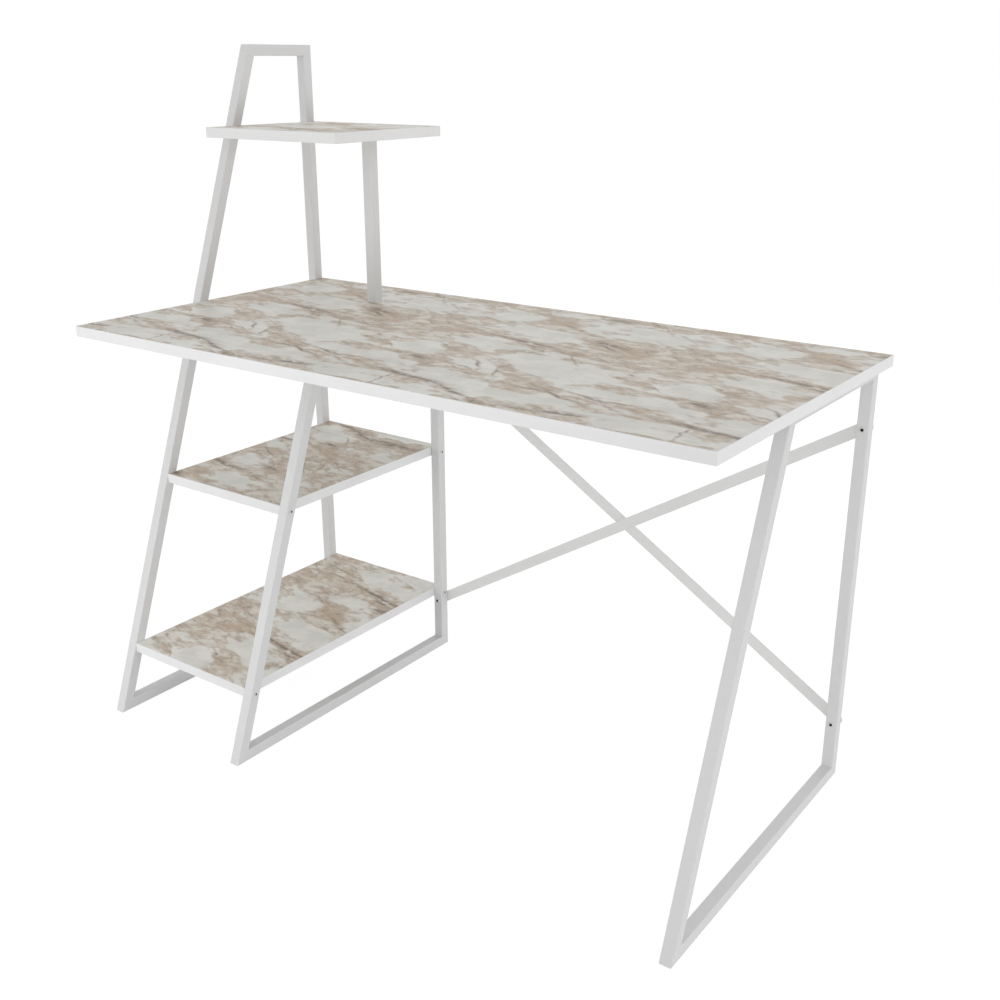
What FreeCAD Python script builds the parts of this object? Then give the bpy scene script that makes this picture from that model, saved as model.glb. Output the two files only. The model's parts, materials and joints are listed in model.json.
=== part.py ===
# Computer desk with a tall open side frame, two shelves beside the knee space
# and a small raised shelf.
# Square steel tube frames stand in the Y-Z plane.
# Their rear legs are upright and their front legs lean back.
# Boards with printed stone facings lie on the frames or between them.
# The origin is at the middle of the bounding box, on the floor.
# +X runs to the right, +Y to the back and +Z up.

import FreeCAD, Part
import math
import os

Vector = FreeCAD.Vector

# Overall sizes
desk_length = 1200.0
desk_depth = 600.0
frame_height = 730.0
tall_frame_height = 1200.0
lean_angle = 20.0
bay_width = 298.0
right_frame_inset = 20.0

# Square steel tube
tube_size = 20.0
tube_wall = 1.2
tube_corner_radius = 1.6

# Boards
board_thickness = 18.0
facing_thickness = 0.6
backing_thickness = 0.3
band_thickness = 1.0
band_edge_radius = 0.5

# Shelf heights are those of their top faces
lower_shelf_top = 129.0
middle_shelf_top = 439.0

# The raised shelf, from the tall frame's top, the inner frame's far side and the leaning leg's front
upper_shelf_drop = 142.0
upper_shelf_overhang = 2.0
upper_shelf_lip = 65.0

# Post under the raised shelf, set in from the shelf's right and back edges
post_side_inset = 46.0
post_back_inset = 124.0
post_insert_length = 16.0
insert_clearance = 0.1

# Flat cross braces behind the rear legs
brace_width = 20.0
brace_thickness = 3.0
brace_bolt_height = 102.0

# Screws with button heads, through the frames into the board ends
board_screw_radius = 2.5
board_screw_head_radius = 4.2
board_screw_head_height = 2.2
board_screw_socket = 3.2
board_screw_socket_depth = 1.6
board_screw_bite = 28.0

# Screws up through the top bars into the desktop
top_screw_bite = 13.0
top_screw_end_inset = 60.0

# Every button head has a rim and a crown, as shares of its own height and radius
head_rim_share = 0.3
head_crown_share = 0.62

# Bolts, nuts, washers and spacers of the braces
bolt_radius = 3.0
bolt_head_radius = 5.0
bolt_head_height = 2.8
bolt_socket = 4.8
bolt_socket_depth = 2.0
bolt_length = 35.0
nut_across_flats = 10.0
nut_height = 5.0
washer_radius = 6.0
washer_thickness = 1.6
spacer_radius = 7.0

# Stud between the post and the raised shelf
stud_radius = 3.0
stud_bite = 12.0

hole_clearance = 0.1
overrun = 5.0

# Shanks, screw holes and washers are many and small, so each is drawn with this many flat sides
small_round_sides = 12

# Worked out from the sizes above
lean_slope = math.tan(math.radians(lean_angle))
leg_depth = tube_size / math.cos(math.radians(lean_angle))
half_tube = tube_size / 2
desk_top = frame_height + board_thickness
tall_frame_x = -tube_size
inner_frame_x = bay_width
right_frame_x = desk_length - right_frame_inset - tube_size
rear_leg_y = desk_depth - half_tube
rear_stack = max(bolt_length - tube_size, brace_thickness * 2 + washer_thickness + nut_height)


def front_line(height):
    """How far back the front of a leaning leg stands at a height."""
    return height * lean_slope


upper_shelf_top = tall_frame_height - upper_shelf_drop
upper_shelf_length = bay_width + tube_size + upper_shelf_overhang
upper_shelf_front = front_line(upper_shelf_top) - upper_shelf_lip

# The box that the origin is the bottom centre of
box_left = tall_frame_x - board_screw_head_height
box_centre_x = (box_left + desk_length) / 2
box_centre_y = (desk_depth + rear_stack) / 2
to_origin = Vector(-box_centre_x, -box_centre_y, 0)

os.makedirs("parts", exist_ok=True)


def save(name, shape):
    """Move a piece, or a group of like pieces, to the desk's origin and write its file."""
    placed = shape.copy()
    placed.translate(to_origin)
    placed.exportStep("parts/" + name + ".step")


def box(low, high):
    """A block between two opposite corners."""
    size = high - low
    return Part.makeBox(size.x, size.y, size.z, low)


def prism(points, way):
    """A closed outline drawn out along a vector."""
    outline = Part.makePolygon(points + points[:1])
    return Part.Face(outline).extrude(way)


def even_outline(sides, corner_radius, base):
    """The corners of an even-sided outline about the Z axis."""
    points = []
    for step in range(sides):
        angle = 2 * math.pi * step / sides
        points.append(Vector(corner_radius * math.cos(angle), corner_radius * math.sin(angle), base))
    return points


def aim(shape, way, place):
    """Turn a piece so that its Z axis points one way, and set it down at a place."""
    turned = shape.copy()
    turned.Placement = FreeCAD.Placement(place, FreeCAD.Rotation(Vector(0, 0, 1), way))
    return turned


def small_rod(radius, start, end):
    """A small round bar, with few sides, from one point to another."""
    way = end - start
    bar = prism(even_outline(small_round_sides, radius, 0), Vector(0, 0, way.Length))
    return aim(bar, way, start)


def square_bar(size, height):
    """A square bar that stands on the X-Y plane about the Z axis."""
    half = size / 2
    return box(Vector(-half, -half, 0), Vector(half, half, height))


def square_tube(length):
    """A hollow square tube with rounded corners that stands on the X-Y plane about the Z axis."""
    bar = square_bar(tube_size, length)
    upright = [edge for edge in bar.Edges if abs(edge.tangentAt(edge.FirstParameter).z) > 0.5]
    outer = bar.makeFillet(tube_corner_radius, upright)
    bore = square_bar(tube_size - tube_wall * 2, length + overrun * 2)
    bore.translate(Vector(0, 0, -overrun))
    return outer.cut(bore)


# Frames


def frame_corners(height):
    """The outer corners of a frame in the Y-Z plane, each paired with the inner one of its mitre."""
    top_front = front_line(height)
    outer = [(0, 0), (desk_depth, 0), (desk_depth, height), (top_front, height)]
    inner_low = tube_size
    inner_high = height - tube_size
    inner_rear = desk_depth - tube_size
    inner = [(front_line(inner_low) + leg_depth, inner_low), (inner_rear, inner_low),
             (inner_rear, inner_high), (front_line(inner_high) + leg_depth, inner_high)]
    return outer, inner


def mitred_tube(x, outer, inner, first, last):
    """The tube along one side of a frame, cut along the mitres at its two ends."""
    start = Vector(x + half_tube, *outer[first])
    end = Vector(x + half_tube, *outer[last])
    inward = Vector(x + half_tube, *inner[first]) - start
    way = (end - start).normalize()
    across = (inward - way * inward.dot(way)).normalize()
    tube = square_tube((end - start).Length + overrun * 2)
    turn = math.degrees(math.atan2(-way.y, way.z))
    tube.rotate(Vector(0, 0, 0), Vector(1, 0, 0), turn)
    tube.translate(start + across * half_tube - way * overrun)
    reach = []
    for corner in (first, last):
        far = Vector(x - overrun, *outer[corner])
        near = Vector(x - overrun, *inner[corner])
        out = (far - near).normalize() * overrun
        reach.append((far + out, near - out))
    outline = [reach[0][0], reach[1][0], reach[1][1], reach[0][1]]
    wedge = prism(outline, Vector(tube_size + overrun * 2, 0, 0))
    return tube.common(wedge)


def frame_tubes(x, height):
    """The four tubes of a frame by name."""
    outer, inner = frame_corners(height)
    return {
        "floor_bar": mitred_tube(x, outer, inner, 0, 1),
        "rear_leg": mitred_tube(x, outer, inner, 1, 2),
        "top_bar": mitred_tube(x, outer, inner, 2, 3),
        "front_leg": mitred_tube(x, outer, inner, 3, 0),
    }


def leg_middle(height):
    """How far back the middle of a leaning leg stands at a height."""
    return front_line(height) + leg_depth / 2


def board_middle(top):
    """The height of the middle of a board by that of its top face."""
    return top - board_thickness / 2


def screw_places(top):
    """Where the two screws into one end of a board pass through the legs, as Y and Z."""
    height = board_middle(top)
    return [(leg_middle(height), height), (rear_leg_y, height)]


# Boards


def edge_band(low, high, outward):
    """A band between two opposite corners, with the two long edges of its outer face softened."""
    band = box(low, high)
    middle = (low + high) / 2
    half = (high - low) / 2
    outer_face = middle + Vector(outward.x * half.x, outward.y * half.y, 0)
    chosen = []
    for edge in band.Edges:
        offset = edge.CenterOfMass - outer_face
        on_outer_face = abs(offset.dot(outward)) < band_edge_radius / 2
        if on_outer_face and abs(offset.z) > half.z / 2:
            chosen.append(edge)
    return band.makeFillet(band_edge_radius, chosen)


def board_pieces(low_x, high_x, low_y, high_y, top):
    """The core, the two faces and the four edge bands of a board."""
    bottom = top - board_thickness
    left = low_x + band_thickness
    right = high_x - band_thickness
    front = low_y + band_thickness
    rear = high_y - band_thickness
    core_low = bottom + backing_thickness
    core_high = top - facing_thickness
    ahead = Vector(0, -1, 0)
    sideways = Vector(1, 0, 0)
    return {
        "core": box(Vector(left, front, core_low), Vector(right, rear, core_high)),
        "facing": box(Vector(left, front, core_high), Vector(right, rear, top)),
        "backing": box(Vector(left, front, bottom), Vector(right, rear, core_low)),
        "front_band": edge_band(Vector(low_x, low_y, bottom), Vector(high_x, front, top), ahead),
        "rear_band": edge_band(Vector(low_x, rear, bottom), Vector(high_x, high_y, top), -ahead),
        "left_band": edge_band(Vector(low_x, front, bottom), Vector(left, rear, top), -sideways),
        "right_band": edge_band(Vector(right, front, bottom), Vector(high_x, rear, top), sideways),
    }


def drill(pieces, names, holes):
    """Cut holes through the named pieces."""
    for name in names:
        for hole in holes:
            pieces[name] = pieces[name].cut(hole)


def end_holes(end_x, way, top):
    """Screw holes into a board's end, from outside the frame that it meets."""
    radius = board_screw_radius + hole_clearance
    outside = end_x - way * (tube_size + overrun)
    inside = end_x + way * (board_screw_bite + hole_clearance)
    return [small_rod(radius, Vector(outside, y, z), Vector(inside, y, z)) for y, z in screw_places(top)]


# Fasteners


def hex_prism(across_flats, low, high):
    """A hexagonal bar about the Z axis between two heights."""
    corner_radius = across_flats / 2 / math.cos(math.radians(30))
    return prism(even_outline(6, corner_radius, low), Vector(0, 0, high - low))


def button_screw(radius, head_radius, head_height, socket, socket_depth, length):
    """A screw whose head sits on the X-Y plane, with its shank down the Z axis."""
    shank = small_rod(radius, Vector(0, 0, -length), Vector(0, 0, 0))
    rim_height = head_height * head_rim_share
    crown_radius = head_radius * head_crown_share
    levels = [(head_radius, 0), (head_radius, rim_height), (crown_radius, head_height)]
    wires = []
    for level_radius, height in levels:
        points = even_outline(small_round_sides, level_radius, height)
        wires.append(Part.makePolygon(points + points[:1]))
    head = Part.makeLoft(wires, True, True)
    recess = hex_prism(socket, head_height - socket_depth, head_height + overrun)
    return head.fuse(shank).cut(recess).removeSplitter()


def board_screw(length):
    """A screw from a frame into a board."""
    return button_screw(board_screw_radius, board_screw_head_radius, board_screw_head_height,
                        board_screw_socket, board_screw_socket_depth, length)


def ring(outer_radius, inner_radius, thickness):
    """A flat ring on the X-Y plane about the Z axis."""
    outer = small_rod(outer_radius, Vector(0, 0, 0), Vector(0, 0, thickness))
    return outer.cut(small_rod(inner_radius, Vector(0, 0, -overrun), Vector(0, 0, thickness + overrun)))


def hex_nut():
    """A nut on the X-Y plane."""
    blank = hex_prism(nut_across_flats, 0, nut_height)
    bore = small_rod(bolt_radius + hole_clearance, Vector(0, 0, -overrun),
                     Vector(0, 0, nut_height + overrun))
    return blank.cut(bore)


# Build the frames
frames = {
    "tall_frame": frame_tubes(tall_frame_x, tall_frame_height),
    "inner_frame": frame_tubes(inner_frame_x, frame_height),
    "right_frame": frame_tubes(right_frame_x, frame_height),
}

# Build the boards
boards = {
    "desktop": board_pieces(0, desk_length, 0, desk_depth, desk_top),
    "middle_shelf": board_pieces(0, bay_width, front_line(middle_shelf_top), desk_depth, middle_shelf_top),
    "lower_shelf": board_pieces(0, bay_width, front_line(lower_shelf_top), desk_depth, lower_shelf_top),
    "upper_shelf": board_pieces(0, upper_shelf_length, upper_shelf_front, desk_depth, upper_shelf_top),
}
board_tops = {
    "desktop": desk_top,
    "middle_shelf": middle_shelf_top,
    "lower_shelf": lower_shelf_top,
    "upper_shelf": upper_shelf_top,
}

# Screws from the tall frame's outer side into the left end of every board
tall_frame_screws = []
for board, top in board_tops.items():
    holes = end_holes(0, 1, top)
    drill(boards[board], ["left_band", "core"], holes)
    drill(frames["tall_frame"], ["front_leg", "rear_leg"], holes)
    for y, z in screw_places(top):
        seat = Vector(tall_frame_x, y, z)
        tall_frame_screws.append(aim(board_screw(tube_size + board_screw_bite), Vector(-1, 0, 0), seat))
save("tall_frame_board_screws", Part.makeCompound(tall_frame_screws))

# Screws from the knee space through the inner frame into the shelves' right ends
inner_frame_screws = []
for board in ("middle_shelf", "lower_shelf"):
    holes = end_holes(bay_width, -1, board_tops[board])
    drill(boards[board], ["right_band", "core"], holes)
    drill(frames["inner_frame"], ["front_leg", "rear_leg"], holes)
    for y, z in screw_places(board_tops[board]):
        seat = Vector(inner_frame_x + tube_size, y, z)
        inner_frame_screws.append(aim(board_screw(tube_size + board_screw_bite), Vector(1, 0, 0), seat))
save("inner_frame_shelf_screws", Part.makeCompound(inner_frame_screws))

# Screws up through the top bars into the desktop
desktop_screws = []
bar_front = front_line(frame_height) + top_screw_end_inset
bar_rear = desk_depth - top_screw_end_inset
for frame, x in (("inner_frame", inner_frame_x + half_tube), ("right_frame", right_frame_x + half_tube)):
    for y in (bar_front, bar_rear):
        seat = Vector(x, y, frame_height - tube_size)
        hole = small_rod(board_screw_radius + hole_clearance, seat - Vector(0, 0, overrun),
                         seat + Vector(0, 0, tube_size + top_screw_bite + hole_clearance))
        drill(frames[frame], ["top_bar"], [hole])
        drill(boards["desktop"], ["backing", "core"], [hole])
        desktop_screws.append(aim(board_screw(tube_size + top_screw_bite), Vector(0, 0, -1), seat))
save("desktop_screws", Part.makeCompound(desktop_screws))

# Post between the desktop and the raised shelf
post_x = upper_shelf_length - post_side_inset - half_tube
post_y = desk_depth - post_back_inset - half_tube
post_top = upper_shelf_top - board_thickness
post = square_tube(post_top - desk_top)
post.translate(Vector(post_x, post_y, desk_top))
save("shelf_post", post)

insert_size = tube_size - tube_wall * 2 - insert_clearance * 2
insert_bore = small_rod(stud_radius + hole_clearance, Vector(0, 0, -overrun),
                        Vector(0, 0, post_insert_length + overrun))
insert = square_bar(insert_size, post_insert_length).cut(insert_bore)
insert_places = [Vector(post_x, post_y, desk_top), Vector(post_x, post_y, post_top - post_insert_length)]
inserts = []
for place in insert_places:
    inserts.append(aim(insert, Vector(0, 0, 1), place))
save("post_inserts", Part.makeCompound(inserts))

# Screw from under the desktop into the post's lower insert
post_screw_length = board_thickness + post_insert_length
post_screw_seat = Vector(post_x, post_y, frame_height)
post_screw = button_screw(stud_radius, bolt_head_radius, bolt_head_height, bolt_socket, bolt_socket_depth,
                          post_screw_length)
save("post_screw", aim(post_screw, Vector(0, 0, -1), post_screw_seat))
post_hole = small_rod(stud_radius + hole_clearance, post_screw_seat - Vector(0, 0, overrun),
                      post_screw_seat + Vector(0, 0, board_thickness + overrun))
drill(boards["desktop"], ["backing", "core", "facing"], [post_hole])

# Stud from the post's upper insert into the underside of the raised shelf
stud_start = Vector(post_x, post_y, post_top - post_insert_length)
stud_end = Vector(post_x, post_y, post_top + stud_bite)
save("post_stud", small_rod(stud_radius, stud_start, stud_end))
stud_hole = small_rod(stud_radius + hole_clearance, stud_start, stud_end + Vector(0, 0, hole_clearance))
drill(boards["upper_shelf"], ["backing", "core"], [stud_hole])

# Cross braces
brace_left = inner_frame_x + half_tube
brace_right = right_frame_x + half_tube
brace_low = brace_bolt_height
brace_high = frame_height - brace_bolt_height


def brace(start, end):
    """A flat bar with round ends between two bolt holes, from its front face backwards."""
    way = (end - start).normalize()
    side = Vector(-way.z, 0, way.x) * (brace_width / 2)
    tip = way * (brace_width / 2)
    edges = [
        Part.LineSegment(start + side, end + side).toShape(),
        Part.Arc(end + side, end + tip, end - side).toShape(),
        Part.LineSegment(end - side, start - side).toShape(),
        Part.Arc(start - side, start - tip, start + side).toShape(),
    ]
    bar = Part.Face(Part.Wire(edges)).extrude(Vector(0, brace_thickness, 0))
    reach = Vector(0, brace_thickness + overrun, 0)
    for place in (start, end):
        bar = bar.cut(small_rod(bolt_radius + hole_clearance, place - Vector(0, overrun, 0), place + reach))
    return bar


front_brace_y = desk_depth
rear_brace_y = desk_depth + brace_thickness
rising = [(brace_left, brace_low), (brace_right, brace_high)]
falling = [(brace_left, brace_high), (brace_right, brace_low)]
save("rising_brace", brace(*[Vector(x, front_brace_y, z) for x, z in rising]))
save("falling_brace", brace(*[Vector(x, rear_brace_y, z) for x, z in falling]))

# Bolts through the rear legs and the brace ends, with what is stacked behind
bolts = []
nuts = []
washers = []
spacers = []
for ends, stack_y in ((rising, front_brace_y), (falling, rear_brace_y)):
    for x, z in ends:
        seat = Vector(x, desk_depth - tube_size, z)
        bolts.append(aim(button_screw(bolt_radius, bolt_head_radius, bolt_head_height, bolt_socket,
                                      bolt_socket_depth, bolt_length), Vector(0, -1, 0), seat))
        frame = "inner_frame" if x == brace_left else "right_frame"
        hole = small_rod(bolt_radius + hole_clearance, seat - Vector(0, overrun, 0),
                         seat + Vector(0, tube_size + overrun, 0))
        drill(frames[frame], ["rear_leg"], [hole])
        behind = stack_y + brace_thickness
        washers.append(aim(ring(washer_radius, bolt_radius + hole_clearance, washer_thickness),
                           Vector(0, 1, 0), Vector(x, behind, z)))
        nuts.append(aim(hex_nut(), Vector(0, 1, 0), Vector(x, behind + washer_thickness, z)))
for x, z in falling:
    spacers.append(aim(ring(spacer_radius, bolt_radius + hole_clearance, brace_thickness),
                       Vector(0, 1, 0), Vector(x, desk_depth, z)))
save("brace_bolts", Part.makeCompound(bolts))
save("brace_washers", Part.makeCompound(washers))
save("brace_nuts", Part.makeCompound(nuts))
save("brace_spacers", Part.makeCompound(spacers))

# Write the frames and boards, now that their holes are cut
for frame, tubes in frames.items():
    for piece, shape in tubes.items():
        save(frame + "_" + piece, shape)
for board, pieces in boards.items():
    for piece, shape in pieces.items():
        save(board + "_" + piece, shape)
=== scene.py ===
import json
import math

import bpy
from mathutils import Matrix, Vector


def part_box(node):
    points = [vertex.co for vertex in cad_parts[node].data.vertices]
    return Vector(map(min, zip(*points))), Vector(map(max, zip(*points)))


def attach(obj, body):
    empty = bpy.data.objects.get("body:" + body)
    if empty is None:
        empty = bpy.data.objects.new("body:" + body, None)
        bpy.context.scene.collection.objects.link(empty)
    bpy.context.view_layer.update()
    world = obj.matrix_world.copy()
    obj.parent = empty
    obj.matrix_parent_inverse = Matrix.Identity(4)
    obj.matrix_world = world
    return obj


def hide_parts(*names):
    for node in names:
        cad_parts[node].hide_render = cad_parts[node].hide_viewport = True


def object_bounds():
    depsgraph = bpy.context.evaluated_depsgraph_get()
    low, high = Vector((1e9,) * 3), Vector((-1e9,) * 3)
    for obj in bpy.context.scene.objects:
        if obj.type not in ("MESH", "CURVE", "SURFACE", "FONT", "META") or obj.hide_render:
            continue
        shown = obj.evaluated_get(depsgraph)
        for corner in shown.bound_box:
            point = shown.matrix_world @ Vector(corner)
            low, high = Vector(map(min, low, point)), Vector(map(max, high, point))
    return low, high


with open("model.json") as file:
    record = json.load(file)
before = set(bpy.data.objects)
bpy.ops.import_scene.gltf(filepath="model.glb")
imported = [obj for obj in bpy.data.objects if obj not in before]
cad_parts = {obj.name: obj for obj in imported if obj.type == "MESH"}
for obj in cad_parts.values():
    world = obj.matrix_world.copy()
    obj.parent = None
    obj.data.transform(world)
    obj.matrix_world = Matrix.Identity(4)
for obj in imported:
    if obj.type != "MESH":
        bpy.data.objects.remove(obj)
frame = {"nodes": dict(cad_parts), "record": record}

cad_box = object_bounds()
nodes = frame["nodes"]

# A computer desk: three white steel tube frames, and boards with a marble print and white edges.
# Every CAD piece gets its finish here, and finer screws, bolts and nuts replace the plain ones.

# Sizes of the desk

# In millimetres, as in the part's source. X starts at the desktop's left end, Y at its front edge
# and Z at the floor.
MM = 0.001
desk_length = 1200.0
desk_depth = 600.0
frame_height = 730.0
board_thickness = 18.0
board_tops = {"desktop": 748.0, "middle_shelf": 439.0, "lower_shelf": 129.0, "upper_shelf": 1058.0}

tube_size = 20.0
half_tube = tube_size / 2
tall_frame_x = -tube_size
inner_frame_x = 298.0
right_frame_x = 1160.0
lean_angle = math.radians(20)
lean_slope = math.tan(lean_angle)
leg_depth = tube_size / math.cos(lean_angle)
rear_leg_y = desk_depth - half_tube

post_x = 264.0
post_y = 466.0
post_insert_length = 16.0

brace_thickness = 3.0
brace_bolt_height = 102.0
front_brace_y = desk_depth
rear_brace_y = desk_depth + brace_thickness

# The scene's origin is at the middle of the whole part, whose right side is the desktop's end and
# whose front is the desktop's front edge. The frame's numbers are single precision, hence rounded.
middle_x = round(desk_length - cad_box[1].x / MM, 1)
middle_y = round(-cad_box[0].y / MM, 1)


def at(x, y, z):
    """A place on the desk in millimetres as a place in the scene."""
    return Vector(((x - middle_x) * MM, (y - middle_y) * MM, z * MM))


# Shader maths

WHITE = (1.0, 1.0, 1.0, 1.0)


def linear(value):
    """One channel of a screen colour as light."""
    value /= 255
    return value / 12.92 if value <= 0.04045 else ((value + 0.055) / 1.055) ** 2.4


def tone(red, green, blue):
    """A screen colour as a shader colour."""
    return (linear(red), linear(green), linear(blue), 1.0)


def dimmed(colour, share):
    """A shader colour with a share of its light."""
    return tuple(part * share for part in colour[:3]) + (1.0,)


class Wire:
    """A shader socket that can be used in Python sums."""

    def __init__(self, owner, socket):
        self.owner = owner
        self.socket = socket

    def _math(self, operation, *values):
        return self.owner.node("ShaderNodeMath", {"operation": operation}, *values)

    def __add__(self, other):
        return self._math("ADD", self, other)

    def __radd__(self, other):
        return self._math("ADD", other, self)

    def __sub__(self, other):
        return self._math("SUBTRACT", self, other)

    def __rsub__(self, other):
        return self._math("SUBTRACT", other, self)

    def __mul__(self, other):
        return self._math("MULTIPLY", self, other)

    def __rmul__(self, other):
        return self._math("MULTIPLY", other, self)

    def cosine(self):
        return self._math("COSINE", self)

    def sine(self):
        return self._math("SINE", self)

    def max(self, other):
        return self._math("MAXIMUM", self, other)

    def min(self, other):
        return self._math("MINIMUM", self, other)

    def between(self, low, high):
        """A smooth step from 0 at low to 1 at high."""
        settings = {"interpolation_type": "SMOOTHSTEP", "clamp": False}
        return self.owner.node("ShaderNodeMapRange", settings, self, low, high, 0.0, 1.0)


class Nodes:
    """The nodes of a material or of the world."""

    def __init__(self, tree, output_kind):
        self.tree = tree
        tree.nodes.clear()
        self.output = tree.nodes.new(output_kind)

    def plug(self, socket, value):
        """Link a wire to a socket, or set the socket to a value."""
        if isinstance(value, Wire):
            self.tree.links.new(value.socket, socket)
        elif value is not None:
            socket.default_value = value

    def show(self, surface):
        """Send a shader to the output."""
        self.plug(self.output.inputs["Surface"], surface)

    def node(self, kind, settings, *values, output=0, **named):
        """A node by its type, its settings and the values or links of its sockets."""
        made = self.tree.nodes.new(kind)
        for key, value in settings.items():
            setattr(made, key, value)
        for number, value in enumerate(values):
            self.plug(made.inputs[number], value)
        for key, value in named.items():
            self.plug(made.inputs[key.replace("_", " ")], value)
        return Wire(self, made.outputs[output])

    def mix(self, share, first, second):
        """Two colours mixed by a share of the second."""
        made = self.tree.nodes.new("ShaderNodeMix")
        made.data_type = "RGBA"
        share_socket, first_socket, second_socket = (made.inputs[number] for number in (0, 6, 7))
        self.plug(share_socket, share)
        self.plug(first_socket, first)
        self.plug(second_socket, second)
        return Wire(self, made.outputs[2])

    def vector(self, operation, *values, output=0):
        return self.node("ShaderNodeVectorMath", {"operation": operation}, *values, output=output)

    def noise(self, place, scale, detail=2.0, roughness=0.5, output=0):
        return self.node("ShaderNodeTexNoise", {}, place, Scale=scale, Detail=detail,
                         Roughness=roughness, output=output)

    def seen_directly(self):
        """1 for what the camera sees, also in a reflection or through glass, and 0 for other light."""
        path = self.tree.nodes.new("ShaderNodeLightPath")
        rays = ("Is Camera Ray", "Is Glossy Ray", "Is Transmission Ray")
        camera_ray, glossy_ray, clear_ray = (Wire(self, path.outputs[ray]) for ray in rays)
        return camera_ray.max(glossy_ray).max(clear_ray)


class Finish(Nodes):
    """A material of one principled shader and the nodes that feed it."""

    def __init__(self, name):
        self.material = bpy.data.materials.new(name)
        self.material.use_nodes = True
        super().__init__(self.material.node_tree, "ShaderNodeOutputMaterial")
        self.shader = self.tree.nodes.new("ShaderNodeBsdfPrincipled")
        self.surface = Wire(self, self.shader.outputs["BSDF"])
        self.show(self.surface)
        self.spot = self.node("ShaderNodeTexCoord", {}, output="Object")

    def stretched(self, scale):
        """The places on a piece, scaled along each axis."""
        return self.node("ShaderNodeMapping", {}, self.spot, Scale=scale)

    def set(self, **values):
        """Values or links of the shader's own sockets."""
        for key, value in values.items():
            self.plug(self.shader.inputs[key.replace("_", " ")], value)

    def bump(self, height, strength, depth):
        normal = self.node("ShaderNodeBump", {}, Strength=strength, Distance=depth, Height=height)
        self.set(Normal=normal)

    def on(self, name):
        """Give this finish to a CAD node."""
        for slot in nodes[name].material_slots:
            slot.material = self.material


# Marble print

SHEET_REPEAT = 477.0

# Each row is a patch of the printed sheet in millimetres: across from the left edge of the sheet's
# repeat, down from the desktop's back edge, half length, half width, turn in degrees, strength.
PALE_ISLANDS = [
    (92, 100, 54, 36, 8, 0.9), (358, 100, 118, 42, 6, 1.0), (196, 190, 84, 36, 12, 0.9),
    (166, 300, 50, 30, 10, 1.0), (92, 376, 52, 36, 4, 1.0), (340, 362, 122, 48, 10, 1.0),
    (395, 405, 70, 34, 8, 0.9), (226, 416, 30, 20, 6, 1.0), (272, 442, 32, 16, 30, 0.9),
    (70, 470, 98, 22, 4, 1.0), (20, 490, 60, 14, 4, 0.8), (262, 520, 100, 30, 8, 1.0),
    (345, 555, 80, 26, 6, 1.0), (85, 560, 86, 34, 2, 0.9), (440, 535, 50, 24, 0, 0.9),
    (250, 592, 90, 18, 6, 0.9), (400, 66, 50, 22, 20, 0.6), (160, 32, 50, 22, 10, 0.7),
]
TAN_STAINS = [
    (192, 96, 34, 26, 20, 1.0), (158, 72, 40, 22, 25, 0.7), (196, 368, 36, 28, 10, 1.0),
    (150, 344, 40, 16, 30, 0.7), (455, 262, 44, 22, 10, 1.0), (400, 235, 60, 26, 20, 0.6),
    (456, 354, 26, 16, 10, 0.9), (450, 92, 26, 14, 10, 0.7), (330, 290, 80, 20, 24, 0.5),
    (26, 505, 44, 14, 12, 0.8), (100, 512, 30, 12, 14, 0.6), (510, 515, 40, 12, 10, 0.6),
    (282, 462, 30, 12, 20, 0.5), (60, 246, 60, 18, 10, 0.4), (345, 200, 50, 20, 20, 0.6),
]
DARK_VEINS = [
    (208, 254, 68, 3.4, 12, 1.0), (160, 243, 34, 2.6, 6, 0.7), (238, 276, 34, 4.5, 28, 0.6),
    (255, 312, 26, 3.0, 8, 0.5), (276, 296, 20, 2.4, 62, 0.4), (196, 532, 40, 5.0, 10, 1.0),
    (240, 541, 36, 4.0, 14, 0.9), (300, 563, 46, 3.6, 23, 0.9), (352, 588, 34, 3.2, 24, 0.8),
    (430, 588, 52, 3.4, -8, 0.7), (486, 574, 36, 6.0, -8, 0.8), (184, 566, 28, 2.0, 84, 0.7),
    (400, 497, 34, 2.4, 6, 0.7), (442, 504, 36, 3.2, 22, 0.8), (498, 494, 34, 2.2, 14, 0.8),
    (530, 514, 24, 2.6, 30, 0.6), (148, 437, 17, 4.6, 18, 1.0), (250, 428, 36, 2.2, 46, 0.7),
    (290, 410, 34, 2.2, 32, 0.6), (296, 446, 24, 2.2, 62, 0.7), (240, 446, 24, 2.0, 20, 0.6),
    (26, 490, 40, 2.2, 8, 0.7), (32, 572, 24, 4.0, -10, 0.8), (345, 205, 34, 4.6, 20, 0.9),
    (352, 222, 24, 4.0, 34, 0.8), (320, 196, 20, 2.4, 40, 0.5), (250, 136, 34, 2.6, 30, 0.6),
    (216, 118, 24, 2.6, 20, 0.5), (255, 32, 28, 7.0, 8, 0.7), (330, 26, 26, 2.6, 48, 0.6),
    (366, 52, 34, 2.2, 46, 0.5), (120, 60, 26, 2.2, 28, 0.5), (430, 96, 28, 2.4, 40, 0.5),
    (318, 288, 30, 2.0, 14, 0.6), (384, 300, 20, 2.0, 14, 0.5), (352, 322, 34, 2.0, 52, 0.5),
    (470, 352, 30, 2.2, 24, 0.5), (430, 170, 40, 1.8, 48, 0.4), (470, 210, 40, 1.8, 50, 0.4),
    (130, 352, 30, 2.2, 28, 0.5), (60, 196, 40, 2.0, 16, 0.5), (56, 400, 34, 2.0, 34, 0.4),
]

# More pale patches on the lower shelf, towards its back
LOWER_SHELF_ISLANDS = [
    (238, -118, 72, 30, 8, 1.0), (176, -82, 64, 26, 8, 1.0), (184, 34, 40, 20, 10, 0.9),
]

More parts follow.
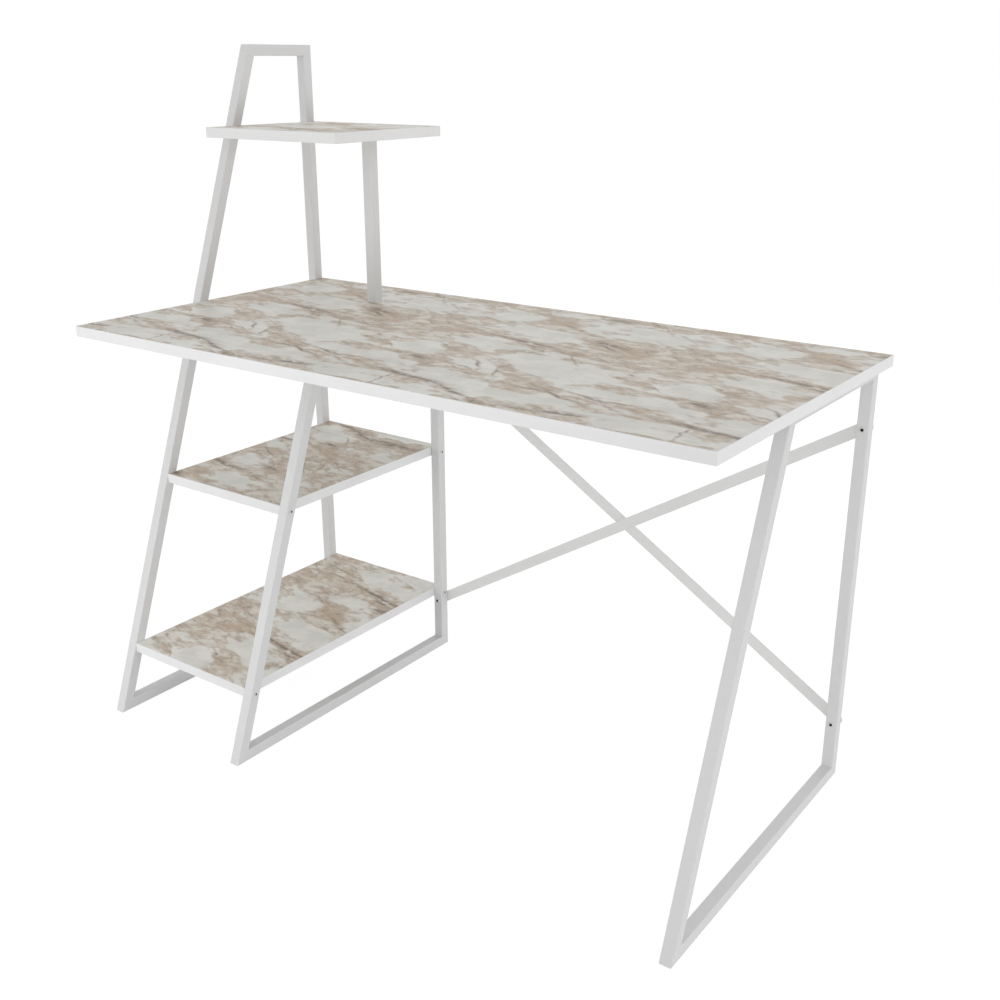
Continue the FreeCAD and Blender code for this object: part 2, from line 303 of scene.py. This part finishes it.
# The middle shelf is cut from another part of the sheet. Its places are from its back left corner.
MIDDLE_SHELF_ISLANDS = [
    (90, 82, 60, 34, 20, 0.9), (210, 14, 90, 16, 0, 0.8), (270, 128, 34, 30, 10, 0.7),
    (26, 190, 30, 26, 0, 0.8), (66, 292, 54, 26, 14, 0.9), (130, 395, 60, 30, 10, 0.8),
    (180, 130, 26, 12, 20, 0.5), (265, 240, 30, 22, 20, 0.6), (240, 330, 34, 18, 20, 0.5),
    (40, 140, 30, 16, 10, 0.6),
]
MIDDLE_SHELF_STAINS = [
    (214, 172, 44, 22, 20, 0.9), (30, 232, 28, 18, 20, 0.9), (28, 416, 36, 22, 10, 1.0),
    (228, 60, 40, 18, 4, 0.8), (150, 120, 50, 20, 30, 0.6), (160, 310, 60, 22, 24, 0.6),
    (120, 200, 60, 20, 30, 0.5), (250, 300, 40, 22, 20, 0.5),
]
MIDDLE_SHELF_VEINS = [
    (66, 12, 36, 3.4, 10, 0.9), (110, 30, 32, 4.6, 24, 0.9), (150, 48, 30, 4.4, 22, 0.9),
    (236, 58, 34, 8.0, -4, 1.0), (200, 52, 30, 5.0, 4, 0.8), (238, 42, 16, 2.4, -40, 0.6),
    (284, 60, 16, 2.4, 6, 0.6), (134, 126, 24, 5.0, 14, 0.8), (138, 92, 16, 2.4, 50, 0.6),
    (22, 152, 22, 3.0, 4, 0.9), (140, 308, 22, 4.4, 14, 0.8), (48, 338, 48, 3.6, 8, 1.0),
    (12, 428, 18, 5.0, 20, 0.9), (220, 216, 40, 2.0, 28, 0.6), (214, 246, 30, 2.0, 70, 0.5),
    (60, 236, 40, 2.2, 36, 0.6), (150, 360, 40, 2.0, 20, 0.5), (250, 370, 40, 2.0, 40, 0.5),
    (180, 262, 40, 2.0, 44, 0.5),
]

# Colours of the print, from its pale stone to its darkest veins
pale_stone = tone(230, 228, 221)
grey_stone = tone(219, 217, 210)
crumb_white = tone(222, 218, 209)
sand = tone(222, 215, 204)
light_tan = tone(196, 180, 161)
deep_tan = tone(183, 165, 145)
rust = tone(186, 158, 127)
rim_brown = tone(168, 148, 127)
seam_brown = tone(168, 149, 128)
halo_brown = tone(154, 134, 113)
crack_brown = tone(134, 114, 94)
thread_brown = tone(132, 115, 98)
vein_brown = tone(112, 98, 86)


def rolled(stone, x, y, slant, stretch):
    """The sheet rolled into a tube as long round as its repeat, so that noise on it repeats too."""
    turn = (x + y * slant) * (2 * math.pi / SHEET_REPEAT)
    radius = SHEET_REPEAT / (2 * math.pi)
    return stone.node("ShaderNodeCombineXYZ", {}, turn.cosine() * radius, turn.sine() * radius, y * stretch)


def swing(stone, place, scale, detail, roughness):
    """Noise along each axis, to both sides of zero."""
    middle = (0.5, 0.5, 0.5)
    return stone.vector("SUBTRACT", stone.noise(place, scale, detail, roughness, output=1), middle)


def bent(stone, place, drift, drift_reach, ripple, ripple_reach):
    """A place moved by two noises, each by its reach in millimetres."""
    moved = stone.vector("ADD", place, stone.vector("MULTIPLY", drift, drift_reach))
    return stone.vector("ADD", moved, stone.vector("MULTIPLY", ripple, ripple_reach))


def distance(stone, place, patch, fade):
    """How far a place is from the middle of a patch, 1 at its edge. A weak patch is further off."""
    across, down, half_length, half_width, turn, strength = patch
    beyond_sheet = 4000.0
    high = (across + SHEET_REPEAT / 2, beyond_sheet, 1.0)
    low = (across - SHEET_REPEAT / 2, -beyond_sheet, -1.0)
    wrapped = stone.vector("WRAP", place, high, low)
    local = stone.node("ShaderNodeMapping", {"vector_type": "TEXTURE"}, wrapped, (across, down, 0.0),
                       (0.0, 0.0, math.radians(turn)), (half_length, half_width, 1.0))
    return stone.vector("LENGTH", local, output=1) + (1.0 - strength) * fade


def nearest(stone, patches, place, beside, fade=0.6):
    """How far a place is from the nearest of many patches.

    They come in groups, and each group bends a little round what is already there. One long chain
    without that is more than the renderer's stack holds.
    """
    group = 8
    push_across = 3.0
    push_down = 2.0
    least = None
    for start in range(0, len(patches), group):
        push = stone.node("ShaderNodeCombineXYZ", {}, beside * push_across, beside * push_down)
        pushed = stone.vector("ADD", place, push)
        for patch in patches[start:start + group]:
            near = distance(stone, pushed, patch, fade)
            least = near if least is None else least.min(near)
        beside = least.min(2.0)
    return least


def cracks(stone, place, scale):
    """How far a place is from the cracks between cells."""
    return stone.node("ShaderNodeTexVoronoi", {"feature": "DISTANCE_TO_EDGE"}, place, Scale=scale)


def marble(name, across, down, islands, stains, veins):
    """Marble print on a board, laid with its sheet moved across and down by millimetres."""
    stone = Finish(name)
    corner = (middle_x + across, desk_depth - middle_y + down, 0.0)
    sheet = stone.node("ShaderNodeMapping", {}, stone.spot, Location=corner, Scale=(1 / MM, -1 / MM, 0.0))
    x = stone.node("ShaderNodeSeparateXYZ", {}, sheet, output="X")
    y = stone.node("ShaderNodeSeparateXYZ", {}, sheet, output="Y")
    level = rolled(stone, x, y, 0.0, 1.5)
    slanted = rolled(stone, x, y, -0.45, 1.9)

    drift = swing(stone, level, 0.017, 3.0, 0.55)
    ripple = swing(stone, slanted, 0.045, 2.0, 0.4)
    calm = bent(stone, sheet, drift, (40.0, 22.0, 0.0), ripple, (10.0, 7.0, 0.0))
    lively = bent(stone, sheet, drift, (84.0, 56.0, 0.0), ripple, (26.0, 18.0, 0.0))
    twisted = bent(stone, slanted, drift, (60.0, 60.0, 60.0), ripple, (16.0, 16.0, 16.0))

    # Noises, with their scales per millimetre of the sheet
    clouds = stone.noise(level, 0.016, 4.0, 0.55)
    patchy = stone.noise(level, 0.045, 2.0, 0.5)
    smoke = stone.noise(slanted, 0.024, 2.0, 0.45)
    fine = stone.noise(slanted, 0.065, 2.0, 0.45)
    large_lobes = (stone.noise(slanted, 0.019, 1.0, 0.5) - 0.5) * 2.9
    small_lobes = (stone.noise(slanted, 0.07, 1.0, 0.5) - 0.5) * 0.3
    lobes = large_lobes + small_lobes
    large_cracks = cracks(stone, twisted, 0.021)
    small_cracks = cracks(stone, twisted, 0.062)

    # How near the patches of the three tables are
    island = nearest(stone, islands, lively, clouds) + lobes
    stain = (nearest(stone, stains, lively, island.min(2.0)) + lobes).between(1.5, 0.5)
    vein = nearest(stone, veins, calm, stain, 1.5)

    # Where each colour shows
    pale = island.between(patchy * 0.9 + 1.15, 0.95)
    open_ground = 1 - pale
    mostly_ground = open_ground * 0.75 + 0.15
    rim = island.between(0.95, 1.2) * island.between(2.0, 1.3)
    seams = large_cracks.between(0.17, 0.0) * patchy.between(0.40, 0.56)
    threads = large_cracks.between(0.035, 0.0) * patchy.between(0.42, 0.60)
    crumbs = large_cracks.between(0.08, 0.24) * smoke.between(0.60, 0.44) * open_ground
    crackle = small_cracks.between(0.09, 0.0) * fine.between(0.42, 0.58) * (open_ground * 0.9 + 0.06)
    rusty = stain * (open_ground * 0.7 + 0.3) * fine.between(0.80, 0.25)
    halo = vein.between(3.2, 0.9) * fine.between(0.25, 0.60)
    core = vein.between(1.5, 0.5) * fine.between(0.22, 0.52)

    ground = stone.mix(smoke.between(0.34, 0.64), sand, light_tan)
    ground = stone.mix(fine.between(0.42, 0.70) * smoke.between(0.42, 0.62) * 0.40, ground, deep_tan)
    colour = stone.mix(clouds.between(0.38, 0.62), pale_stone, grey_stone)
    layers = [
        (open_ground, 0.92, ground),
        (crumbs, 0.60, crumb_white),
        (rusty, 0.66, rust),
        (rim * fine.between(0.30, 0.70), 0.45, rim_brown),
        (seams * mostly_ground, 0.50, seam_brown),
        (crackle, 0.42, crack_brown),
        (threads * mostly_ground, 0.42, thread_brown),
        (halo, 0.66, halo_brown),
        (core, 0.76, vein_brown),
    ]
    for mask, strength, layer in layers:
        colour = stone.mix(mask * strength, colour, layer)

    sheen = stone.noise(stone.spot, 90.0, 3.0)
    stone.set(Base_Color=colour, Roughness=sheen * 0.08 + 0.40, IOR=1.46, Specular_IOR_Level=0.35)
    stone.bump(stone.noise(stone.spot, 900.0, 2.0), 0.04, 0.0002)
    return stone


# How far the sheet is moved across and down on the boards that show the desktop's part of it
print_shifts = {"desktop": (0.0, 0.0), "lower_shelf": (-33.2, -147.5), "upper_shelf": (65.8, 39.2)}

# A patch whose middle is further than this in front of or behind a board is left out
patch_margin = 60.0

# The tables begin at the desktop's back edge. Behind that edge, and a little in front of it, the
# patches from this much further down the sheet come again.
refill_shift = 273.0
refill_overlap = 20.0

# Behind this line of the sheet, the lower shelf has no veins
lower_shelf_vein_end = -100.0


def board_print(board):
    """The print of one board, with only the patches that reach it."""
    name = board.replace("_", " ") + " print"
    if board == "middle_shelf":
        return marble(name, 0.0, 0.0, MIDDLE_SHELF_ISLANDS, MIDDLE_SHELF_STAINS, MIDDLE_SHELF_VEINS)
    across, down = print_shifts[board]
    front_corner, back_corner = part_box(board + "_facing")
    low = down - patch_margin
    high = down + (back_corner.y - front_corner.y) / MM + patch_margin
    tables = []
    for table in (PALE_ISLANDS, TAN_STAINS, DARK_VEINS):
        again = []
        if down < 0:
            again = [(x, y - refill_shift, *rest) for x, y, *rest in table
                     if down < y - refill_shift < refill_overlap]
        tables.append([patch for patch in table + again if low < patch[1] < high])
    islands, stains, veins = tables
    if board == "lower_shelf":
        islands += LOWER_SHELF_ISLANDS
        veins = [patch for patch in veins if patch[1] > lower_shelf_vein_end]
    return marble(name, across, down, islands, stains, veins)


# Painted and plain finishes


def paint(name, colour, roughness):
    """Powder coat: a fine orange peel and a slight drift of tone."""
    coat = Finish(name)
    drift = coat.noise(coat.spot, 4.0, 1.0)
    peel = coat.noise(coat.spot, 800.0, 2.0, 0.4)
    base = coat.mix(drift.between(0.3, 0.7), colour, dimmed(colour, 0.98))
    coat.set(Base_Color=base, Roughness=peel * 0.06 + roughness, IOR=1.5, Specular_IOR_Level=0.4)
    coat.bump(peel, 0.02, 0.0002)
    return coat


def banding(name, colour):
    """Edge band: satin plastic with a faint embossed grain along the board."""
    band = Finish(name)
    grain = band.noise(band.stretched((1.0, 1.0, 6.0)), 160.0, 4.0, 0.6)
    tint = band.noise(band.spot, 5.0, 2.0)
    base = band.mix(tint.between(0.35, 0.65), colour, dimmed(colour, 0.965))
    band.set(Base_Color=base, Roughness=grain * 0.12 + 0.38, IOR=1.48)
    band.bump(grain, 0.08, 0.0001)
    return band


def melamine(name, colour):
    """White board underside with a fine pearl texture."""
    board = Finish(name)
    pearl = board.noise(board.spot, 420.0, 3.0, 0.55)
    tint = board.noise(board.spot, 4.0, 2.0)
    base = board.mix(tint.between(0.3, 0.7), colour, dimmed(colour, 0.96))
    board.set(Base_Color=base, Roughness=pearl * 0.15 + 0.45)
    board.bump(pearl, 0.15, 0.0002)
    return board


def particle_board(name):
    """Raw board core: pressed chips in several wood tones."""
    core = Finish(name)
    chips = core.node("ShaderNodeTexVoronoi", {"feature": "F1"}, core.spot, Scale=420.0, output=1)
    chip_tone = core.vector("DOT_PRODUCT", chips, (0.4, 0.35, 0.25), output=1)
    fine = core.noise(core.spot, 1500.0, 3.0)
    base = core.mix(chip_tone.between(0.2, 0.8), tone(186, 158, 120), tone(222, 198, 160))
    base = core.mix(fine.between(0.55, 0.8) * 0.5, base, tone(140, 112, 80))
    core.set(Base_Color=base, Roughness=0.9)
    core.bump(fine, 0.4, 0.0004)
    return core


def plated(name, colour, roughness):
    """Plain or zinc-plated steel: fine brushed lines and a faint cloud."""
    metal = Finish(name)
    lines = metal.noise(metal.stretched((1.0, 12.0, 1.0)), 900.0, 3.0)
    cloud = metal.noise(metal.spot, 60.0, 3.0)
    base = metal.mix(cloud.between(0.3, 0.7), colour, dimmed(colour, 0.85))
    metal.set(Base_Color=base, Metallic=1.0, Roughness=lines * 0.15 + roughness)
    metal.bump(lines, 0.1, 0.0001)
    return metal


# The sockets' near-black coat is partly the dark bare steel inside a socket and partly painted shade,
# deeper than the recess's own shadow
painted_socket_shade = paint("socket shadow", tone(28, 28, 30), 0.8)
finishes = {
    "frame_paint": paint("frame powder coat", tone(219, 219, 219), 0.42),
    "brace_paint": paint("brace powder coat", tone(231, 231, 230), 0.42),
    "screw_paint": paint("screw coat", tone(214, 214, 213), 0.36),
    "edge_band": banding("white edge band", tone(234, 234, 234)),
    "board_backing": melamine("white underside", tone(226, 226, 224)),
    "board_core": particle_board("particle board"),
    "zinc_steel": plated("zinc plate", (0.62, 0.63, 0.64, 1.0), 0.30),
    "insert_steel": plated("plain steel", (0.45, 0.45, 0.46, 1.0), 0.38),
}

for part in frame["record"]["subparts"]:
    name = part["node"]
    slot = part["material_slot"]
    finish = board_print(name.removesuffix("_facing")) if slot == "stone_print" else finishes[slot]
    finish.on(name)


# Screws, bolts, nuts, washers and spacers, modelled about Z in millimetres

round_steps = 40
smooth_angle = math.radians(28)
overrun = 1.0
screw_paint = finishes["screw_paint"]
zinc = finishes["zinc_steel"]

# Shank radius, head radius and height, width and depth of the hexagon socket, pitch of the thread
board_screw_sizes = {"radius": 2.5, "head_radius": 4.2, "head_height": 1.4,
                     "socket": 3.6, "socket_depth": 1.3, "pitch": 1.6}
bolt_sizes = {"radius": 3.0, "head_radius": 5.0, "head_height": 1.9,
              "socket": 5.2, "socket_depth": 1.8, "pitch": 1.0}


def lathe(name, profile, finish):
    """A turned piece. Its profile of radii and heights starts and ends on the axis, or is closed."""
    bpy.ops.object.select_all(action="DESELECT")
    start = Vector((profile[0][0] * MM, 0.0, profile[0][1] * MM))
    bpy.ops.mesh.primitive_plane_add(size=MM, location=start)
    piece = bpy.context.active_object
    piece.name = name
    bpy.ops.object.mode_set(mode="EDIT")
    bpy.ops.mesh.merge(type="CENTER")
    for before, after in zip(profile, profile[1:]):
        step = ((after[0] - before[0]) * MM, 0.0, (after[1] - before[1]) * MM)
        bpy.ops.mesh.extrude_region_move(TRANSFORM_OT_translate={"value": step})
    bpy.ops.mesh.select_all(action="SELECT")
    bpy.ops.mesh.spin(steps=round_steps, angle=2 * math.pi, center=(0.0, 0.0, 0.0), axis=(0.0, 0.0, 1.0))
    bpy.ops.mesh.select_all(action="SELECT")
    bpy.ops.mesh.remove_doubles(threshold=0.001 * MM)
    bpy.ops.mesh.normals_make_consistent(inside=False)
    bpy.ops.object.mode_set(mode="OBJECT")
    bpy.ops.object.transform_apply(location=True)
    piece.data.materials.append(finish.material)
    return piece


def six_sided(name, across_flats, low, high, finish):
    """A hexagonal bar between two heights."""
    bpy.ops.object.select_all(action="DESELECT")
    radius = across_flats / 2 / math.cos(math.radians(30))
    bpy.ops.mesh.primitive_cylinder_add(vertices=6, radius=radius * MM, depth=(high - low) * MM,
                                        location=(0.0, 0.0, (low + high) / 2 * MM))
    bar = bpy.context.active_object
    bar.name = name
    bpy.ops.object.transform_apply(location=True)
    bar.data.materials.append(finish.material)
    return bar


def cut(piece, tool, operation):
    """Cut a piece with another one, or keep what they share, and remove the tool."""
    bpy.ops.object.select_all(action="DESELECT")
    piece.select_set(True)
    bpy.context.view_layer.objects.active = piece
    cutter = piece.modifiers.new("cut", "BOOLEAN")
    cutter.operation = operation
    cutter.object = tool
    cutter.solver = "EXACT"
    cutter.material_mode = "TRANSFER"
    bpy.ops.object.modifier_apply(modifier="cut")
    bpy.data.objects.remove(tool)


def thread(radius, high, low, pitch):
    """The zigzag of a thread's outline, downwards."""
    root_radius = radius * 0.86
    turns = int((high - low) / pitch)
    line = []
    for turn in range(turns):
        crest = high - turn * pitch
        line += [(radius, crest), (root_radius, crest - pitch / 2)]
    return line + [(radius, high - turns * pitch)]


def button_screw(name, length, plain, radius, head_radius, head_height, socket, socket_depth, pitch):
    """A screw with its domed head on Z = 0, a hexagon socket whose near-black coat is partly painted shade,
    and a shank that is partly plain.
    """
    crown_radius = head_radius * 0.66
    rim_height = head_height * 0.28
    dome_steps = 6
    dome = []
    for step in range(dome_steps + 1):
        angle = math.pi / 2 * step / dome_steps
        out = (head_radius - crown_radius) * math.sin(angle)
        up = (head_height - rim_height) * math.cos(angle)
        dome.append((crown_radius + out, rim_height + up))
    seat = [(head_radius, rim_height * 0.3), (head_radius * 0.97, 0.0), (radius, 0.0)]
    tip_height = radius * 0.4
    shank = thread(radius, -plain, tip_height - length, pitch)
    tip = [(radius * 0.7, -length), (0.0, -length)]
    screw = lathe(name, [(0.0, head_height)] + dome + seat + shank + tip, screw_paint)
    floor_height = head_height - socket_depth
    # The socket's walls and floor take the near-black coat, partly painted shade of the recess
    hexagon = six_sided("socket", socket, floor_height, head_height + overrun, painted_socket_shade)
    cut(screw, hexagon, "DIFFERENCE")
    return screw


def set_in(piece, name, node, way, seats):
    """Copies of a small piece at their seats, turned one way, as one piece in place of a CAD node."""
    turn = Vector((0.0, 0.0, 1.0)).rotation_difference(Vector(way)).to_matrix().to_4x4()
    copies = []
    for seat in seats:
        copy = piece.copy()
        copy.data = piece.data.copy()
        bpy.context.scene.collection.objects.link(copy)
        copy.data.transform(Matrix.Translation(seat) @ turn)
        copies.append(copy)
    bpy.data.objects.remove(piece)
    bpy.ops.object.select_all(action="DESELECT")
    for copy in copies:
        copy.select_set(True)
    bpy.context.view_layer.objects.active = copies[0]
    if len(copies) > 1:
        bpy.ops.object.join()
    whole = bpy.context.view_layer.objects.active
    whole.name = name
    bpy.ops.object.shade_smooth_by_angle(angle=smooth_angle)
    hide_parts(node)
    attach(whole, "root")


def leg_seats(x, boards):
    """Where screws pass through a frame's two legs into the middles of boards."""
    seats = []
    for board in boards:
        height = board_tops[board] - board_thickness / 2
        front_leg_y = height * lean_slope + leg_depth / 2
        seats += [at(x, front_leg_y, height), at(x, rear_leg_y, height)]
    return seats


# Screws through the frames' legs into the ends of the boards
board_screw_length = 48.0
screw = button_screw("board screw", board_screw_length, tube_size, **board_screw_sizes)
set_in(screw, "tall_frame_screws", "tall_frame_board_screws", (-1, 0, 0),
       leg_seats(tall_frame_x, ("desktop", "middle_shelf", "lower_shelf", "upper_shelf")))
screw = button_screw("board screw", board_screw_length, tube_size, **board_screw_sizes)
set_in(screw, "inner_frame_screws", "inner_frame_shelf_screws", (1, 0, 0),
       leg_seats(inner_frame_x + tube_size, ("middle_shelf", "lower_shelf")))

# Screws from under the top bars into the desktop, and from under the desktop into the post
top_screw_length = 33.0
top_screw_inset = 60.0
bar_middles = (inner_frame_x + half_tube, right_frame_x + half_tube)
bar_ends = (frame_height * lean_slope + top_screw_inset, desk_depth - top_screw_inset)
under_bar = frame_height - tube_size
screw = button_screw("top screw", top_screw_length, tube_size, **board_screw_sizes)
set_in(screw, "desktop_fixing_screws", "desktop_screws", (0, 0, -1),
       [at(x, y, under_bar) for x in bar_middles for y in bar_ends])
screw = button_screw("post fixing", board_thickness + post_insert_length, board_thickness, **bolt_sizes)
set_in(screw, "post_fixing_screw", "post_screw", (0, 0, -1),
       [at(post_x, post_y, frame_height)])

# Bolts through the rear legs and the braces. The falling brace is behind the rising one.
bolt_length = 35.0
bolt_plain_length = 19.0
brace_left, brace_right = bar_middles
brace_low = brace_bolt_height
brace_high = frame_height - brace_bolt_height
rising_ends = [(brace_left, brace_low), (brace_right, brace_high)]
falling_ends = [(brace_left, brace_high), (brace_right, brace_low)]
bolt_heads_y = desk_depth - tube_size
screw = button_screw("bolt", bolt_length, bolt_plain_length, **bolt_sizes)
set_in(screw, "cross_brace_bolts", "brace_bolts", (0, -1, 0),
       [at(x, bolt_heads_y, z) for x, z in rising_ends + falling_ends])

# Washers and nuts behind the braces, and spacers in front of the falling brace's ends
backwards = (0, 1, 0)
hole_radius = 3.1
ease = 0.2
washer_radius = 6.0
washer_thickness = 1.6
behind = [(x, front_brace_y + brace_thickness, z) for x, z in rising_ends]
behind += [(x, rear_brace_y + brace_thickness, z) for x, z in falling_ends]
washer = lathe("washer", [
    (hole_radius, ease), (hole_radius + ease, 0.0), (washer_radius - ease, 0.0), (washer_radius, ease),
    (washer_radius, washer_thickness - ease), (washer_radius - ease, washer_thickness),
    (hole_radius + ease, washer_thickness), (hole_radius, washer_thickness - ease), (hole_radius, ease),
], zinc)
set_in(washer, "cross_brace_washers", "brace_washers", backwards,
       [at(x, y, z) for x, y, z in behind])

nut_width = 10.0
nut_height = 5.0
face_radius = 4.9
chamfer_radius = 5.9
chamfer_height = 0.6
thread_radius = 3.05
mouth_radius = 3.6
mouth_depth = 0.5
nut = six_sided("nut", nut_width, 0.0, nut_height, zinc)
chamfer = lathe("chamfer", [
    (0.0, 0.0), (face_radius, 0.0), (chamfer_radius, chamfer_height),
    (chamfer_radius, nut_height - chamfer_height), (face_radius, nut_height), (0.0, nut_height),
], zinc)
cut(nut, chamfer, "INTERSECT")
bore = lathe("bore", [
    (0.0, -overrun), (mouth_radius, -overrun), (mouth_radius, 0.0), (thread_radius, mouth_depth),
    (thread_radius, nut_height - mouth_depth), (mouth_radius, nut_height),
    (mouth_radius, nut_height + overrun), (0.0, nut_height + overrun),
], zinc)
cut(nut, bore, "DIFFERENCE")
set_in(nut, "cross_brace_nuts", "brace_nuts", backwards,
       [at(x, y + washer_thickness, z) for x, y, z in behind])

spacer_radius = 7.0
spacer = lathe("spacer", [
    (hole_radius, 0.0), (spacer_radius - ease, 0.0), (spacer_radius, ease),
    (spacer_radius, brace_thickness - ease), (spacer_radius - ease, brace_thickness),
    (hole_radius, brace_thickness), (hole_radius, 0.0),
], zinc)
set_in(spacer, "cross_brace_spacers", "brace_spacers", backwards,
       [at(x, front_brace_y, z) for x, z in falling_ends])


# Floor and background

floor_size = 60.0
floor_drop = 0.0002
floor_grey = 0.8
glow_share = 0.87
glow_level = 0.945
dome_level = 0.65


def staged_white(name):
    """A matt surface that the camera sees as plain white with faint shadows.

    What the camera sees is mostly glow, just under white. The light on the surface adds the rest,
    so only what is in shadow stays below white. Other light meets the matt surface alone.
    """
    white = Finish(name)
    white.set(Base_Color=(floor_grey, floor_grey, floor_grey, 1.0), Roughness=0.9)
    glow = white.node("ShaderNodeEmission", {}, WHITE, glow_level / glow_share)
    share = white.seen_directly() * glow_share
    white.show(white.node("ShaderNodeMixShader", {}, share, white.surface, glow))
    return white


bpy.ops.object.select_all(action="DESELECT")
bpy.ops.mesh.primitive_plane_add(size=floor_size, location=(0.0, 0.0, -floor_drop))
floor = bpy.context.active_object
floor.name = "floor"
floor.data.materials.append(staged_white("studio floor").material)

world = bpy.data.worlds.new("studio")
world.use_nodes = True
bpy.context.scene.world = world
sky = Nodes(world.node_tree, "ShaderNodeOutputWorld")
backdrop = sky.node("ShaderNodeBackground", {}, WHITE, 1.0)
dome = sky.node("ShaderNodeBackground", {}, WHITE, dome_level)
sky.show(sky.node("ShaderNodeMixShader", {}, sky.seen_directly(), dome, backdrop))


# Lamps, in metres and watts


def soft_box(name, place, target, width, height, power):
    """A rectangular lamp at a place, turned towards a target."""
    light = bpy.data.lights.new(name, "AREA")
    light.shape = "RECTANGLE"
    light.size = width
    light.size_y = height
    light.energy = power
    lamp = bpy.data.objects.new(name, light)
    bpy.context.scene.collection.objects.link(lamp)
    lamp.location = place
    lamp.rotation_euler = (Vector(target) - Vector(place)).to_track_quat("-Z", "Y").to_euler()
    return lamp


soft_box("right box", (5.2, -0.6, 0.42), (0.0, 0.0, 0.5), 3.0, 0.8, 50.0)
soft_box("front right box", (2.6, -4.2, 3.4), (0.0, 0.0, 0.5), 3.0, 2.4, 20.5)
soft_box("low front box", (-1.6, -4.4, 0.5), (0.0, 0.0, 0.4), 3.0, 0.9, 19.0)
soft_box("near left box", (-0.75, -1.45, 0.62), (-0.35, -0.1, 0.36), 0.8, 0.4, 3.4)
back_box = soft_box("back box", (0.0, 4.6, 1.3), (0.0, 0.3, 0.4), 3.4, 2.2, 68.0)
# The desktop would mirror this lamp as a pale sheen that the photo doesn't have
back_box.visible_glossy = False


# Camera, as worked out from the desk's edges in the photo

camera_place = (1.1832, -1.5216, 1.16997)
look_down = 0.3495
roll = 0.0009
look_left = 0.6275

camera_data = bpy.data.cameras.new("camera")
camera_data.sensor_width = 36.0
camera_data.lens = 43.343
camera = bpy.data.objects.new("camera", camera_data)
bpy.context.scene.collection.objects.link(camera)
camera.location = camera_place
camera.rotation_euler = (math.pi / 2 - look_down, roll, look_left)
bpy.context.scene.camera = camera
bpy.context.scene.view_settings.view_transform = "Standard"
